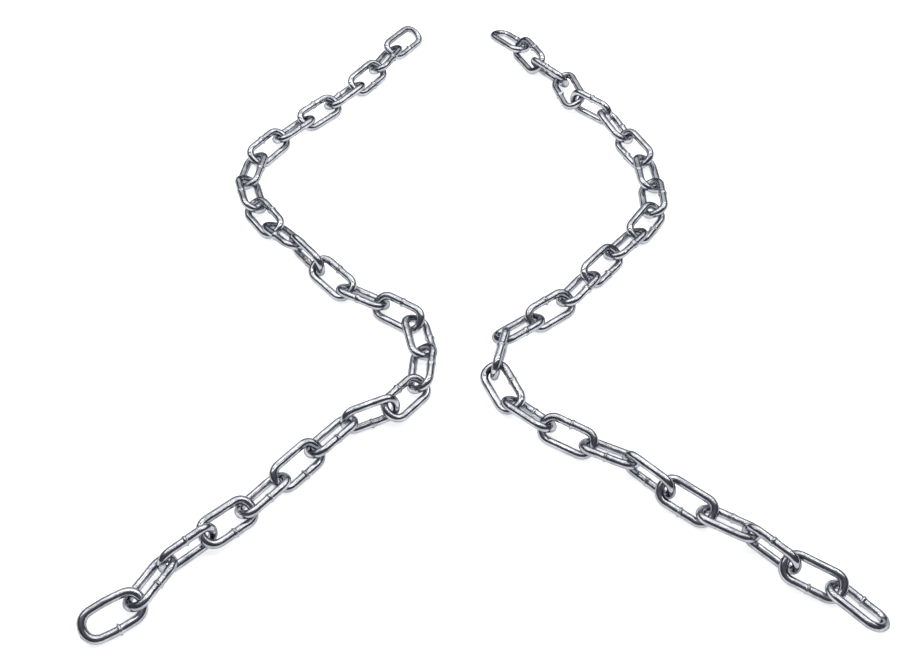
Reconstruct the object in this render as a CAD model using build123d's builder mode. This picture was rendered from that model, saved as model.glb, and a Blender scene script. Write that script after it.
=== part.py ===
from build123d import *

import math
import os

import numpy as np

# A pair of tyre snow chains laid out on a flat surface: two lengths of welded link chain,
# every link hooked through the next one. The origin is on the surface, in the middle of the
# space that the pair covers. +X is to the right, +Y runs to the far ends, +Z is up.

# ---- Driving dimensions, millimetres and degrees ----
WIRE = 6.0                 # diameter of the wire that each link is bent from
INNER_LENGTH = 32.0        # inside length of a link, which is the pitch of the chain
OUTER_WIDTH = 23.0         # width over the two legs of a link
PLAY = 0.35                # clear gap between hooked links at rest
WELD_LENGTH = 4.4          # length of the swelling left by the butt weld
WELD_RISE = 0.3            # height of the swelling over the wire
FAR_END_SPACING = 98.0     # between the middles of the two links at the far ends

# How the links lie, from the far end of each chain to the near end. Each row is one link: its
# heading on the surface (degrees from +X, anticlockwise), its roll about its own length
# (0 is flat, 90 stands on edge) and the leg that carries the weld (1 left, -1 right).
LEFT_LAY = [
    (-127, -28, 1),
    (-115, 30, 1),
    (-126, -36, 1),
    (-131, 30, -1),
    (-135, -30, -1),
    (-131, 30, 1),
    (-126, -36, -1),
    (-100, 26, 1),
    (-74, -34, -1),
    (-56, 28, 1),
    (-50, -30, -1),
    (-52, -88, 1),
    (-46, 30, 1),
    (-31, -32, -1),
    (-35, 38, 1),
    (-78, -24, 1),
    (-96, 36, 1),
    (-129, -26, -1),
    (-156, -78, 1),
    (-135, 30, 1),
    (-132, -38, 1),
    (-133, 30, 1),
    (-137, -30, 1),
    (-139, -88, -1),
    (-121, 30, 1),
    (-147, -32, 1),
]
RIGHT_LAY = [
    (-53, -14, 1),
    (-65, 50, 1),
    (-49, -60, -1),
    (-74, 28, -1),
    (-43, 88, 1),
    (-67, -30, 1),
    (-65, 40, -1),
    (-87, -28, -1),
    (-91, 32, 1),
    (-125, -30, 1),
    (-132, 30, 1),
    (-131, -36, 1),
    (-129, 30, 1),
    (-144, -36, -1),
    (-143, 26, 1),
    (-105, 86, 1),
    (-66, 24, 1),
    (-43, -36, 1),
    (-32, 40, 1),
    (-30, -30, -1),
    (-46, -88, 1),
    (-37, 34, -1),
    (-34, -26, 1),
    (-46, -88, -1),
    (-31, 33, -1),
    (-49, -28, 1),
]

# ---- Sizes that follow from them ----
WIRE_RADIUS = WIRE / 2
CROWN_RADIUS = (OUTER_WIDTH - WIRE) / 2
TIP = (INNER_LENGTH + WIRE) / 2
LEG_LENGTH = 2 * (TIP - CROWN_RADIUS)
UP = np.array([0.0, 0.0, 1.0])
LEVEL = np.array([1.0, 1.0, 0.0])

# ---- How finely the wires are compared when one link is laid in the next ----
CROWN_STEPS = 24
LEG_STEPS = 9
HOOK_STEP = 0.1
MOST_REACH = 9.5
SIDEWAYS_TRIES = (-3, -2, -1, 0, 1, 2, 3)
RISE_TRIES = (-2.5, -1.5, -0.75, 0, 0.75, 1.5, 2.5)
OFF_LINE_COST = 0.3


class Link:
    """Where one link lies: the middle of its eye and the directions of its length and width."""

    def __init__(self, heading, roll, weld_side, pitch=0.0):
        turn, tilt = math.radians(heading), math.radians(roll)
        left = np.array([-math.sin(turn), math.cos(turn), 0])
        ahead = np.array([math.cos(turn), math.sin(turn), 0])
        self.along = ahead * math.cos(pitch) + UP * math.sin(pitch)
        self.across = left * math.cos(tilt) + np.cross(self.along, left) * math.sin(tilt)
        self.weld_side = weld_side
        lift = WELD_RISE if weld_side * roll < 0 else 0
        self.resting_height = WIRE_RADIUS + lift + CROWN_RADIUS * abs(math.sin(tilt))
        self.centre = np.zeros(3)

    def point(self, x, y):
        """A point of the link's middle plane, x along it and y across it."""
        return self.centre + self.along * x + self.across * y

    def half(self, end):
        """Points on the wire's centre line, over the half of the link towards one end."""
        angles = np.linspace(-math.pi / 2, math.pi / 2, CROWN_STEPS + 1)
        leg = np.linspace(0, LEG_LENGTH / 2, LEG_STEPS, endpoint=False)
        x = np.concatenate([LEG_LENGTH / 2 + CROWN_RADIUS * np.cos(angles), leg, leg])
        sides = np.full(LEG_STEPS, CROWN_RADIUS)
        y = np.concatenate([CROWN_RADIUS * np.sin(angles), sides, -sides])
        return self.centre + np.outer(end * x, self.along) + np.outer(y, self.across)


def reach_back(link, following, sideways, rise):
    """How far the next link's tip has to stay behind this one's for the wires to clear."""
    ahead = (link.along + following.along) * LEVEL
    ahead /= np.linalg.norm(ahead)
    left = np.cross(UP, ahead)
    wire = link.half(1) - link.point(TIP, 0)
    next_wire = following.half(-1) - following.point(-TIP, 0) + left * sideways + UP * rise
    reach = WIRE + PLAY
    while reach < MOST_REACH:
        gaps = wire[:, None] - (next_wire - ahead * reach)[None]
        if np.linalg.norm(gaps, axis=2).min() >= WIRE + PLAY:
            break
        reach += HOOK_STEP
    return reach, left * sideways + UP * rise - ahead * reach


def find_hook(link, following):
    """The sideways shift and rise that let the next link lie the furthest along this one."""
    choices = [(sideways, rise) for sideways in SIDEWAYS_TRIES for rise in RISE_TRIES]

    def cost(choice):
        return reach_back(link, following, *choice)[0] + OFF_LINE_COST * (abs(choice[0]) + abs(choice[1]))

    return min(choices, key=cost)


def lay_chain(rows):
    """Lay a chain from its far end, each link's two ends as high as its joints need."""
    flat = [Link(*row) for row in rows]
    hooks = [find_hook(link, following) for link, following in zip(flat, flat[1:])]
    heights = [link.resting_height for link in flat]
    near_heights = [
        max(height, following - rise)
        for height, following, (_, rise) in zip(heights, heights[1:], hooks)
    ]
    far_heights = [height + rise for height, (_, rise) in zip(near_heights, hooks)]
    near_heights.append(heights[-1])
    far_heights.insert(0, heights[0])
    links = []
    for row, far_height, near_height in zip(rows, far_heights, near_heights):
        link = Link(*row, pitch=math.asin((near_height - far_height) / (2 * TIP)))
        if links:
            sideways, rise = hooks[len(links) - 1]
            _, step = reach_back(links[-1], link, sideways, rise)
            link.centre = links[-1].point(TIP, 0) + step + link.along * TIP
        else:
            link.centre = UP * (far_height + near_height) / 2
        links.append(link)
    return links


def shift(links, x, y):
    for link in links:
        link.centre = link.centre + np.array([x, y, 0])


def build_link(name, link):
    """One link: two straight legs, two half-round crowns and the swelling at its weld."""
    along, across, normal = (
        Vector(*direction) for direction in (link.along, link.across, np.cross(link.along, link.across))
    )
    with BuildPart() as piece:
        for side in (-1, 1):
            with BuildSketch(Plane(tuple(link.point(0, side * CROWN_RADIUS)), across, along)):
                Circle(WIRE_RADIUS)
            extrude(amount=LEG_LENGTH / 2, both=True)
        for end in (-1, 1):
            crown_centre = link.point(end * LEG_LENGTH / 2, 0)
            leg_end = link.point(end * LEG_LENGTH / 2, -end * CROWN_RADIUS)
            with BuildSketch(Plane(tuple(leg_end), across, along)):
                Circle(WIRE_RADIUS)
            revolve(axis=Axis(tuple(crown_centre), normal), revolution_arc=180)
        weld_centre = tuple(link.point(0, link.weld_side * CROWN_RADIUS))
        with BuildSketch(Plane(weld_centre, along, normal)):
            with BuildLine():
                swelling = ThreePointArc(
                    (-WELD_LENGTH / 2, WIRE_RADIUS - WELD_RISE),
                    (0, WIRE_RADIUS + WELD_RISE),
                    (WELD_LENGTH / 2, WIRE_RADIUS - WELD_RISE),
                )
                Polyline(swelling @ 1, (WELD_LENGTH / 2, 0), (-WELD_LENGTH / 2, 0), swelling @ 0)
            make_face()
        revolve(axis=Axis(weld_centre, along))
    piece.part.label = name
    export_step(piece.part, f"parts/{name}.step")


# ---- Lay the two chains, with the origin in the middle of the space that they cover ----
left_chain = lay_chain(LEFT_LAY)
right_chain = lay_chain(RIGHT_LAY)
shift(right_chain, FAR_END_SPACING, 0)
wires = np.concatenate([link.half(end) for link in left_chain + right_chain for end in (-1, 1)])
middle_x, middle_y, _ = (wires.min(axis=0) + wires.max(axis=0)) / 2
shift(left_chain + right_chain, -middle_x, -middle_y)

# ---- Build the links ----
os.makedirs("parts", exist_ok=True)
for side_name, chain in (("left", left_chain), ("right", right_chain)):
    for number, link in enumerate(chain, start=1):
        build_link(f"{side_name}_link_{number:02d}", link)
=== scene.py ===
import math
import random

import bpy
import numpy as np
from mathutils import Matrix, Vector, noise


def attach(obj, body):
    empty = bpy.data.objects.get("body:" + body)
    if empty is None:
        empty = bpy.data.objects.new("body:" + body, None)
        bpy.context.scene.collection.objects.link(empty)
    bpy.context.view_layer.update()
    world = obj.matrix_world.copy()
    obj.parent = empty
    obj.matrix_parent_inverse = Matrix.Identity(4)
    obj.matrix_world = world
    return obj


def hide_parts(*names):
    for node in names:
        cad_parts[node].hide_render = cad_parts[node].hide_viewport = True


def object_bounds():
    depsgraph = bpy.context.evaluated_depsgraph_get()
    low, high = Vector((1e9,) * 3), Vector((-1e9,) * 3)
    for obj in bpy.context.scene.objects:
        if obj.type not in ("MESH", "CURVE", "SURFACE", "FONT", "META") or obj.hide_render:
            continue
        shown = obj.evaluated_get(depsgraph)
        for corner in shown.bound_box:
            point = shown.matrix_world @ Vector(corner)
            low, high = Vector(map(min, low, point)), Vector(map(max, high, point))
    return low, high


# Two lengths of bright zinc-plated link chain on a pale floor. Every CAD link is replaced by a
# finer mesh of the same link, with its butt weld, the marks of the welding grips and the slight
# unevenness of bent wire. Lengths are in metres unless a name ends in _MM, and angles in radians.

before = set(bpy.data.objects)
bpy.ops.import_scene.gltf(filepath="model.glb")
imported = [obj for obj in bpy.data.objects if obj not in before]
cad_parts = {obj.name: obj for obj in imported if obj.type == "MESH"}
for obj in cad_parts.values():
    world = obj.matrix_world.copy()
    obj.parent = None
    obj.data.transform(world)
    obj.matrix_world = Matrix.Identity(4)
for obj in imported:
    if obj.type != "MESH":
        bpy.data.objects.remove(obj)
cad_low, cad_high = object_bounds()
CAD_SIZE = cad_high - cad_low
CAD_MIDDLE = (cad_low + cad_high) / 2
CHAINS = ("left", "right")
LINKS_IN_A_CHAIN = len(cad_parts) // len(CHAINS)
NEAR_END = LINKS_IN_A_CHAIN

MM = 0.001

# ---- Camera ----
CAMERA_TILT = math.radians(48.4)
CAMERA_TURN = math.radians(1.5)
CAMERA_DISTANCE = 1.474 * CAD_SIZE.y
AIM_TO_THE_LEFT = 0.0178 * CAD_SIZE.x
AIM_TO_THE_FRONT = 0.0922 * CAD_SIZE.y
CAMERA_LENS = 48.9


def make_camera():
    data = bpy.data.cameras.new("camera")
    data.lens = CAMERA_LENS
    data.clip_start = 0.01
    data.clip_end = 100
    camera = bpy.data.objects.new("camera", data)
    back = Vector((
        -math.sin(CAMERA_TURN) * math.cos(CAMERA_TILT),
        -math.cos(CAMERA_TURN) * math.cos(CAMERA_TILT),
        math.sin(CAMERA_TILT),
    ))
    aim = Vector((CAD_MIDDLE.x - AIM_TO_THE_LEFT, CAD_MIDDLE.y - AIM_TO_THE_FRONT, 0))
    camera.location = aim + back * CAMERA_DISTANCE
    camera.rotation_mode = "QUATERNION"
    camera.rotation_quaternion = (-back).to_track_quat("-Z", "Y")
    bpy.context.scene.collection.objects.link(camera)
    bpy.context.scene.camera = camera


make_camera()


# ---- Node helpers ----
def add(tree, kind, settings=None, **inputs):
    """A new node with its settings and inputs. An input is a value, or the socket that feeds it."""
    made = tree.nodes.new(kind)
    for key, value in (settings or {}).items():
        setattr(made, key, value)
    for key, value in inputs.items():
        socket = made.inputs[int(key[1:])] if key[0] == "i" and key[1:].isdigit() else made.inputs[key]
        if isinstance(value, bpy.types.NodeSocket):
            tree.links.new(value, socket)
        else:
            socket.default_value = value
    return made


def spread(tree, value, low, high, to_low, to_high):
    """value from low to high becomes to_low to to_high, and stays within them."""
    made = add(tree, "ShaderNodeMapRange", i0=value, i1=low, i2=high, i3=to_low, i4=to_high)
    return made.outputs[0]


def mixed(tree, share, a, b):
    """Colour a turning into colour b as share goes from 0 to 1."""
    made = add(tree, "ShaderNodeMix", {"data_type": "RGBA"}, i0=share, i6=a, i7=b)
    return made.outputs[2]


def maths(tree, operation, a, b):
    return add(tree, "ShaderNodeMath", {"operation": operation}, i0=a, i1=b).outputs[0]


def new_material(name):
    """A material with nothing in its node tree yet."""
    material = bpy.data.materials.new(name)
    material.use_nodes = True
    material.node_tree.nodes.clear()
    return material, material.node_tree


# ---- Zinc plate ----
BRIGHT_ZINC = (0.56, 0.575, 0.605, 1)
DULL_ZINC = (0.34, 0.352, 0.38, 1)
PIT_ZINC = (0.12, 0.123, 0.13, 1)
WELD_ZINC = (0.48, 0.49, 0.51, 1)
EDGE_ZINC = (0.27, 0.285, 0.32, 1)
# Each pattern: its changes per millimetre along the wire and across it, its detail, its roughness
DRAWN_PATTERN = ((0.045, 1.9, 1.9), 4, 0.62)
CLOUD_PATTERN = ((0.14, 0.22, 0.22), 3, 0.55)
GRAIN_PATTERN = ((2.2, 2.6, 2.6), 3, 0.6)
PIT_PATTERN = ((0.75, 1.3, 1.3), 2, 0.5)
# The part of a pattern over which its effect goes from none to full
LINE_BAND = (0.56, 0.68)
PIT_BAND = (0.66, 0.74)
CLOUD_BAND = (0.35, 0.65)
CLOUD_GLOSS_BAND = (0.3, 0.7)
# How strongly each effect changes the colour, and how much roughness it gives
LINE_TINT = 0.35
PIT_TINT = 0.55
WELD_TINT = 0.6
CLOUD_ROUGHNESS = (0.08, 0.16)
LINE_ROUGHNESS = 0.10
PIT_ROUGHNESS = 0.18
WORKED_ROUGHNESS = 0.14
DRAWN_DEPTH = 0.075 * MM
GRAIN_DEPTH = 0.018 * MM


def pattern(tree, place, scale, detail, rough):
    scaled = add(tree, "ShaderNodeVectorMath", {"operation": "MULTIPLY"}, i0=place, i1=scale)
    made = add(tree, "ShaderNodeTexNoise", Vector=scaled.outputs[0], Scale=1.0, Detail=detail, Roughness=rough)
    return made.outputs["Fac"]


def zinc_material():
    """Bright zinc over drawn wire: fine lines along the wire, cloudy plating, pits, a duller weld."""
    material, tree = new_material("zinc_plate")
    place = add(tree, "ShaderNodeAttribute", {"attribute_name": "wire_mm"}).outputs["Vector"]
    weld = add(tree, "ShaderNodeAttribute", {"attribute_name": "weld"}).outputs["Fac"]
    grip = add(tree, "ShaderNodeAttribute", {"attribute_name": "grip"}).outputs["Fac"]
    drawn = pattern(tree, place, *DRAWN_PATTERN)
    cloud = pattern(tree, place, *CLOUD_PATTERN)
    grain = pattern(tree, place, *GRAIN_PATTERN)
    pits = spread(tree, pattern(tree, place, *PIT_PATTERN), *PIT_BAND, 0, 1)
    lines = spread(tree, drawn, *LINE_BAND, 0, 1)
    worked = maths(tree, "MAXIMUM", weld, grip)

    colour = mixed(tree, spread(tree, cloud, *CLOUD_BAND, 0, 1), BRIGHT_ZINC, DULL_ZINC)
    for effect, most, tint in (
        (lines, LINE_TINT, PIT_ZINC),
        (pits, PIT_TINT, PIT_ZINC),
        (weld, WELD_TINT, WELD_ZINC),
    ):
        colour = mixed(tree, maths(tree, "MULTIPLY", effect, most), colour, tint)

    roughness = spread(tree, cloud, *CLOUD_GLOSS_BAND, *CLOUD_ROUGHNESS)
    for effect, most in ((lines, LINE_ROUGHNESS), (pits, PIT_ROUGHNESS), (worked, WORKED_ROUGHNESS)):
        roughness = maths(tree, "ADD", roughness, maths(tree, "MULTIPLY", effect, most))

    drawn_relief = add(tree, "ShaderNodeBump", Strength=1.0, Distance=DRAWN_DEPTH, Height=drawn)
    relief = add(
        tree,
        "ShaderNodeBump",
        Strength=1.0,
        Distance=GRAIN_DEPTH,
        Height=grain,
        Normal=drawn_relief.outputs[0],
    )
    shader = add(tree, "ShaderNodeBsdfPrincipled", Metallic=1.0, Roughness=roughness, Normal=relief.outputs[0])
    shader.inputs["Specular Tint"].default_value = EDGE_ZINC
    tree.links.new(colour, shader.inputs["Base Color"])
    add(tree, "ShaderNodeOutputMaterial", Surface=shader.outputs[0])
    return material


# ---- Links ----
SEED = 26
WELD_REACH_MM = 3.0         # the finely divided stretch each side of the weld
WELD_STEP_MM = 0.25
WIRE_STEP_MM = 0.95
ROUND = 24                  # corners round the wire
SHOULDER_MM = 0.28          # crowns are bent a little square
END_BOW_MM = 1.1            # how far the legs of the left chain's near end link bow outwards

# The weld's collar of upset metal, with a groove between the two wire ends
COLLAR_MM = 0.58
COLLAR_HALF_MM = 0.95
COLLAR_SHARES = (0.7, 1.15)
COLLAR_RAGGED = 0.9
COLLAR_PACE = 0.9           # of the raggedness, per millimetre
SEAM_MM = 0.30
SEAM_HALF_MM = 0.26
SEAM_SHARES = (0.4, 1.0)
WELD_LOOK_HALF_MM = 1.3 * COLLAR_HALF_MM

# The burr that the weld leaves inside the eye
FIN_MM = 0.70
FIN_HALF_MM = 0.5
FIN_HALF_ANGLE = 0.55
FIN_SHARES = (0.3, 1.1)
FIN_SWERVE = 0.5

# How far the two wire ends stand out of line, and how that dies away from the weld
MISMATCH_MM = 0.13
MISMATCH_EDGE_MM = 0.2
MISMATCH_REACH_MM = 4

# The flats pressed by the welding grips. Their place and half length are shares of half a leg
GRIP_DEPTHS = (0, 0.4, 0.8, 1.2)
GRIP_FLAT_MM = 0.24
GRIP_LUMP_MM = 0.26
GRIP_PACE = 0.8             # of the lumps, per millimetre
GRIP_TOOTH_MM = 2.3         # from one tooth mark of the grips to the next
GRIP_TOOTH_SHARE = 0.5
GRIP_PLACES = (0.5, 0.62)
GRIP_HALF = 0.26
GRIP_HALF_ANGLE = 0.95

# The slow unevenness of bent wire. It only thins, so that the wire stays clear of the next link
UNEVEN_MM = 0.07
UNEVEN_PACE = 0.16
UNEVEN_MOST = 0.6

# The cropped nib on the crown of a near end link, placed by its share of the way round the crown
NUB_MM = 0.5
NUB_PLACE = 0.42
NUB_HALF_MM = 0.75
NUB_HALF_ANGLE = 0.3


class Lay:
    """How one CAD link lies and its main sizes, all measured on its own mesh."""

    def __init__(self, name):
        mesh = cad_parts[name].data
        points = np.empty(len(mesh.vertices) * 3, np.float32)
        mesh.vertices.foreach_get("co", points)
        points = points.reshape(-1, 3).astype(float)
        mesh.calc_loop_triangles()
        corners = np.empty(len(mesh.loop_triangles) * 3, np.int32)
        mesh.loop_triangles.foreach_get("vertices", corners)
        middle, directions = self.main_directions(points, corners.reshape(-1, 3))
        self.along, across, self.thick = directions
        self.along = -self.along if self.along[1] > 0 else self.along
        self.thick = -self.thick if self.thick[2] < 0 else self.thick
        self.across = np.cross(self.thick, self.along)
        self.axes = np.array([self.along, self.across, self.thick])

        local = (points - middle) @ self.axes.T
        middle_x = (local[:, 0].max() + local[:, 0].min()) / 2
        self.half_length = (local[:, 0].max() - local[:, 0].min()) / 2
        from_middle = np.abs(local[:, 0] - middle_x)
        crowns = local[from_middle > self.half_length / 2]
        legs = local[from_middle < self.half_length / 10]
        low, high = crowns.min(axis=0), crowns.max(axis=0)
        centre = (low + high) / 2
        self.centre = middle + centre @ self.axes
        self.wire_radius = (high[2] - low[2]) / 2
        self.crown_radius = (high[1] - low[1]) / 2 - self.wire_radius
        self.leg_half = self.half_length - self.wire_radius - self.crown_radius
        self.weld_side = 1 if legs[:, 1].max() + legs[:, 1].min() > 2 * centre[1] else -1

    @staticmethod
    def main_directions(points, triangles):
        """The centre of mass of a closed mesh and its directions, from the longest to the thinnest."""
        base = points.mean(axis=0)
        a, b, c = ((points - base)[triangles[:, i]] for i in range(3))
        volumes = np.einsum("ij,ij->i", a, np.cross(b, c)) / 6
        total = a + b + c
        middle = (volumes[:, None] * total).sum(axis=0) / (4 * volumes.sum())
        moment = np.einsum("i,ij,ik->jk", volumes, total, total)
        for p in (a, b, c):
            moment += np.einsum("i,ij,ik->jk", volumes, p, p)
        moment = moment / (20 * volumes.sum()) - np.outer(middle, middle)
        _, vectors = np.linalg.eigh(moment)
        return base + middle, vectors.T[::-1]


def wire_line(reach, lay, bow):
    """Points and outward directions of the wire's centre line. reach is the way round from the weld."""
    crown_arc = math.pi * lay.crown_radius
    half_round = 2 * lay.leg_half + crown_arc
    turned = np.floor((reach + lay.leg_half) / half_round).astype(int)
    rest = reach + lay.leg_half - turned * half_round
    bend = np.clip((rest - 2 * lay.leg_half) / lay.crown_radius, 0, math.pi)
    x = np.where(rest < 2 * lay.leg_half, rest - lay.leg_half, lay.leg_half)
    shoulder = SHOULDER_MM * MM * np.sin(2 * bend) ** 2
    outward = np.stack([np.sin(bend), np.cos(bend)], axis=1)
    points = np.stack([x, np.zeros_like(x)], axis=1) + outward * (lay.crown_radius + shoulder)[:, None]
    points[:, 1] += bow * np.cos(math.pi / 2 * points[:, 0] / lay.half_length) ** 2 * np.cos(bend)
    side = np.where(turned % 2 == 0, 1.0, -1.0)[:, None]
    return points * side, outward * side


def bell(x, half):
    return np.exp(-((x / half) ** 2))


def plateau(x, half):
    return np.exp(-np.abs(x / half) ** 3)


def angle_from(angle, middle):
    """How far each corner round the wire is from the middle of a feature, the short way."""
    return np.angle(np.exp(1j * (angle - middle)))[None]


def grain_of(reach_mm, angle, pace, seed):
    """Smooth noise over the wire's surface, the same where the wire comes round to itself."""
    values = [
        noise.noise(Vector((s * pace + seed, math.cos(t) * 3 * pace, math.sin(t) * 3 * pace + seed)))
        for s in reach_mm
        for t in angle
    ]
    return np.array(values).reshape(len(reach_mm), len(angle))


def link_surface(lay, draw, nub, bow):
    """The rings of one link's surface in its own axes, with how much each point is weld and grip."""
    loop_mm = 2 * (2 * lay.leg_half + math.pi * lay.crown_radius) / MM
    weld_rings = np.arange(-WELD_REACH_MM, WELD_REACH_MM, WELD_STEP_MM)
    plain_count = round((loop_mm - 2 * WELD_REACH_MM) / WIRE_STEP_MM)
    plain_rings = np.linspace(WELD_REACH_MM, loop_mm - WELD_REACH_MM, plain_count, endpoint=False)
    reach = np.concatenate([weld_rings, plain_rings])
    from_weld = np.where(reach > loop_mm / 2, reach - loop_mm, reach)[:, None]
    angle = np.linspace(0, 2 * math.pi, ROUND, endpoint=False)
    leg_mm = lay.leg_half / MM
    seed = draw.uniform(0, 500)

    ragged = 1 + COLLAR_RAGGED * grain_of(reach, angle, COLLAR_PACE, seed)
    collar = draw.uniform(*COLLAR_SHARES) * COLLAR_MM * plateau(from_weld, COLLAR_HALF_MM) * ragged
    collar = collar - draw.uniform(*SEAM_SHARES) * SEAM_MM * bell(from_weld, SEAM_HALF_MM)
    inside = angle_from(angle, math.pi + draw.uniform(-FIN_SWERVE, FIN_SWERVE))
    fin = draw.uniform(*FIN_SHARES) * FIN_MM * bell(from_weld, FIN_HALF_MM) * bell(inside, FIN_HALF_ANGLE)

    # The grips press a lumpy flat into the leg beside the weld, on one side, on both or on neither
    grip = np.zeros((len(reach), ROUND))
    for side in (-1, 1):
        depth = draw.choice(GRIP_DEPTHS)
        round_it = angle_from(angle, draw.uniform(0, 2 * math.pi))
        from_grip = from_weld - side * draw.uniform(*GRIP_PLACES) * leg_mm
        pressed = bell(from_grip, GRIP_HALF * leg_mm) * bell(round_it, GRIP_HALF_ANGLE)
        grip = np.maximum(grip, depth * pressed)
    lumps = grain_of(reach, angle, GRIP_PACE, seed + 31)
    tooth_start = draw.uniform(0, 6)
    teeth = GRIP_TOOTH_SHARE * np.sin(2 * math.pi * reach / GRIP_TOOTH_MM + tooth_start)[:, None]
    grip_relief = grip * (GRIP_LUMP_MM * (2 * lumps + teeth) - GRIP_FLAT_MM)

    uneven = UNEVEN_MM * (grain_of(reach, angle, UNEVEN_PACE, seed + 57) - UNEVEN_MOST)
    radius = lay.wire_radius + MM * (collar + fin + grip_relief + uneven)
    if nub:
        to_nub = reach[:, None] - (leg_mm + NUB_PLACE * math.pi * lay.crown_radius / MM)
        radius += NUB_MM * MM * bell(to_nub, NUB_HALF_MM) * bell(angle_from(angle, 0), NUB_HALF_ANGLE)

    line, outward = wire_line(reach * MM, lay, bow)
    step_turn = draw.uniform(0, 2 * math.pi)
    step = MISMATCH_MM * MM * np.tanh(from_weld / MISMATCH_EDGE_MM)
    step = step * np.exp(-np.abs(from_weld) / MISMATCH_REACH_MM)
    rings = np.zeros((len(reach), ROUND, 3))
    rings[:, :, :2] = line[:, None] + outward[:, None] * (radius * np.cos(angle))[:, :, None]
    rings[:, :, :2] += outward[:, None] * (step * math.cos(step_turn))[:, :, None]
    rings[:, :, 2] = radius * np.sin(angle) + step * math.sin(step_turn)
    place_mm = np.stack(
        np.broadcast_arrays(
            reach[:, None] + seed,
            lay.wire_radius / MM * np.cos(angle)[None],
            lay.wire_radius / MM * np.sin(angle)[None],
        ),
        axis=2,
    )
    weld = np.broadcast_to(plateau(from_weld, WELD_LOOK_HALF_MM), grip.shape)
    return rings, place_mm, weld, grip


def add_attribute(mesh, name, kind, values):
    attribute = mesh.attributes.new(name, kind, "POINT")
    key = "vector" if kind == "FLOAT_VECTOR" else "value"
    attribute.data.foreach_set(key, np.ascontiguousarray(values, np.float32).ravel())


def make_link(node, material, draw, nub, bow):
    """A finer mesh of one CAD link, riding on the link's body."""
    lay = Lay(node)
    rings, place_mm, weld, grip = link_surface(lay, draw, nub, bow)
    count = len(rings)
    # Half a turn about the link's thickness brings the weld to the leg that carries it
    flip = np.array([lay.weld_side, lay.weld_side, 1])
    points = (rings.reshape(-1, 3) * flip) @ lay.axes + lay.centre
    faces = [
        (
            ring * ROUND + corner,
            ring * ROUND + (corner + 1) % ROUND,
            (ring + 1) % count * ROUND + (corner + 1) % ROUND,
            (ring + 1) % count * ROUND + corner,
        )
        for ring in range(count)
        for corner in range(ROUND)
    ]
    mesh = bpy.data.meshes.new(node + "_zinc")
    mesh.from_pydata(points.tolist(), [], faces)
    mesh.polygons.foreach_set("use_smooth", [True] * len(faces))
    add_attribute(mesh, "wire_mm", "FLOAT_VECTOR", place_mm)
    add_attribute(mesh, "weld", "FLOAT", weld)
    add_attribute(mesh, "grip", "FLOAT", grip)
    mesh.materials.append(material)
    mesh.update()
    piece = bpy.data.objects.new(node + "_zinc", mesh)
    bpy.context.scene.collection.objects.link(piece)
    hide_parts(node)
    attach(piece, node)


def make_chains():
    material = zinc_material()
    draw = random.Random(SEED)
    for side in CHAINS:
        for number in range(1, LINKS_IN_A_CHAIN + 1):
            at_the_end = number == NEAR_END
            bow = END_BOW_MM * MM if at_the_end and side == "left" else 0
            make_link(f"{side}_link_{number:02d}", material, draw, at_the_end, bow)


make_chains()


# ---- Floor, backdrop and light ----
FLOOR_COLOUR = (0.8, 0.8, 0.8, 1)
FLOOR_GLOW = 0.72            # the floor is a light table
FLOOR_REACH = 12.0
BACKDROP_COLOUR = (0.86, 0.87, 0.88, 1)
SOFTBOX_HEIGHT = 1.15
SOFTBOX_WIDTH = 2.6
# Each softbox: where it starts and ends behind the middle of the chains, and its watts per square metre
SOFTBOXES = {
    "front_softbox": (-0.26, -0.08, 10.0),
    "middle_softbox": (0.15, 0.42, 11.0),
    "back_softbox": (0.60, 0.98, 7.5),
    "far_softbox": (1.06, 2.3, 2.5),
}
# The sky's colours, from straight down to straight up
SKY_STOPS = (
    (0.0, (0.75, 0.75, 0.75, 1)),
    (0.49, (0.5, 0.5, 0.51, 1)),
    (0.51, (0.10, 0.105, 0.12, 1)),
    (0.60, (0.070, 0.075, 0.092, 1)),
    (0.85, (0.09, 0.095, 0.11, 1)),
    (1.0, (0.26, 0.265, 0.28, 1)),
)


def make_floor():
    material, tree = new_material("floor")
    diffuse = add(tree, "ShaderNodeBsdfDiffuse", Color=FLOOR_COLOUR)
    glow = add(tree, "ShaderNodeEmission", Color=(1, 1, 1, 1), Strength=FLOOR_GLOW)
    both = add(tree, "ShaderNodeAddShader", i0=diffuse.outputs[0], i1=glow.outputs[0])
    add(tree, "ShaderNodeOutputMaterial", Surface=both.outputs[0])
    r = FLOOR_REACH
    mesh = bpy.data.meshes.new("floor")
    mesh.from_pydata([(-r, -r, 0), (r, -r, 0), (r, r, 0), (-r, r, 0)], [], [(0, 1, 2, 3)])
    mesh.materials.append(material)
    floor = bpy.data.objects.new("floor", mesh)
    bpy.context.scene.collection.objects.link(floor)


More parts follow.
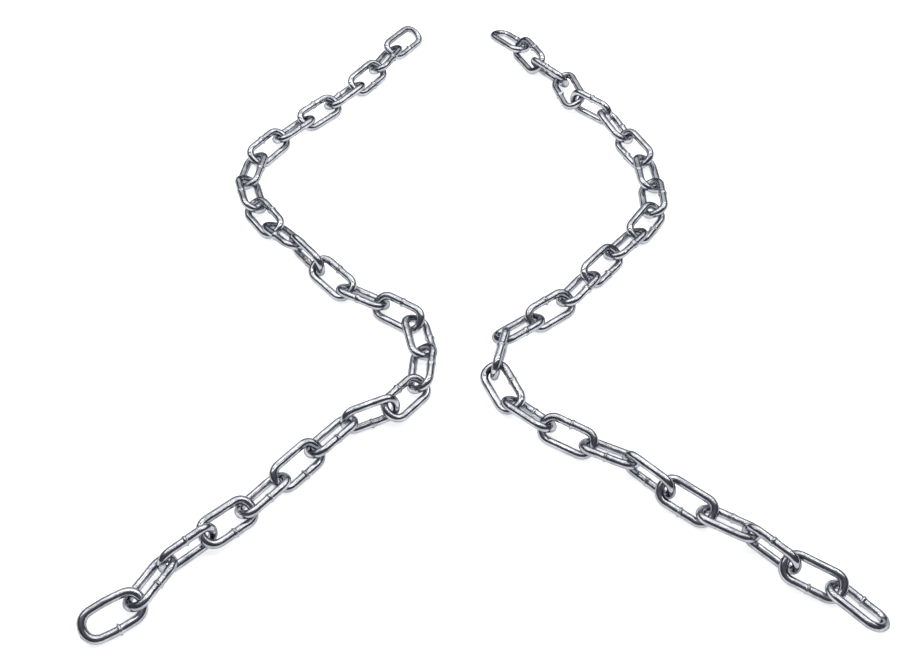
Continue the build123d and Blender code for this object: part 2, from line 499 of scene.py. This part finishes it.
def make_backdrop():
    """A pale dome behind everything, which the camera sees and the chains don't reflect."""
    material, tree = new_material("backdrop")
    glow = add(tree, "ShaderNodeEmission", Color=BACKDROP_COLOUR, Strength=1.0)
    add(tree, "ShaderNodeOutputMaterial", Surface=glow.outputs[0])
    bpy.ops.mesh.primitive_uv_sphere_add(radius=FLOOR_REACH, segments=48, ring_count=24)
    dome = bpy.context.object
    dome.name = "backdrop"
    dome.data.materials.append(material)
    dome.visible_diffuse = False
    dome.visible_glossy = False
    dome.visible_transmission = False
    dome.visible_shadow = False


def make_softbox(name, nearest, furthest, power):
    """A level softbox over the chains, from nearest to furthest behind their middle."""
    depth = furthest - nearest
    data = bpy.data.lights.new(name, "AREA")
    data.shape = "RECTANGLE"
    data.size, data.size_y = SOFTBOX_WIDTH, depth
    data.energy = power * SOFTBOX_WIDTH * depth
    light = bpy.data.objects.new(name, data)
    light.location = (CAD_MIDDLE.x, CAD_MIDDLE.y + (nearest + furthest) / 2, SOFTBOX_HEIGHT)
    light.visible_camera = False
    bpy.context.scene.collection.objects.link(light)


def make_sky():
    """Dark blue-grey round the set, so that the bright wire has something dark to reflect."""
    world = bpy.data.worlds.new("studio")
    world.use_nodes = True
    tree = world.node_tree
    tree.nodes.clear()
    direction = add(tree, "ShaderNodeTexCoord").outputs["Generated"]
    height = add(tree, "ShaderNodeSeparateXYZ", i0=direction).outputs["Z"]
    ramp = add(tree, "ShaderNodeValToRGB", i0=spread(tree, height, -1, 1, 0, 1))
    stops = ramp.color_ramp.elements
    stops[0].position, stops[0].color = SKY_STOPS[0]
    stops[1].position, stops[1].color = SKY_STOPS[-1]
    for position, colour in SKY_STOPS[1:-1]:
        stops.new(position).color = colour
    shader = add(tree, "ShaderNodeBackground", i0=ramp.outputs[0], Strength=1.0)
    add(tree, "ShaderNodeOutputWorld", Surface=shader.outputs[0])
    bpy.context.scene.world = world


make_floor()
make_backdrop()
for softbox_name, softbox in SOFTBOXES.items():
    make_softbox(softbox_name, *softbox)
make_sky()
bpy.context.scene.view_settings.view_transform = "Standard"
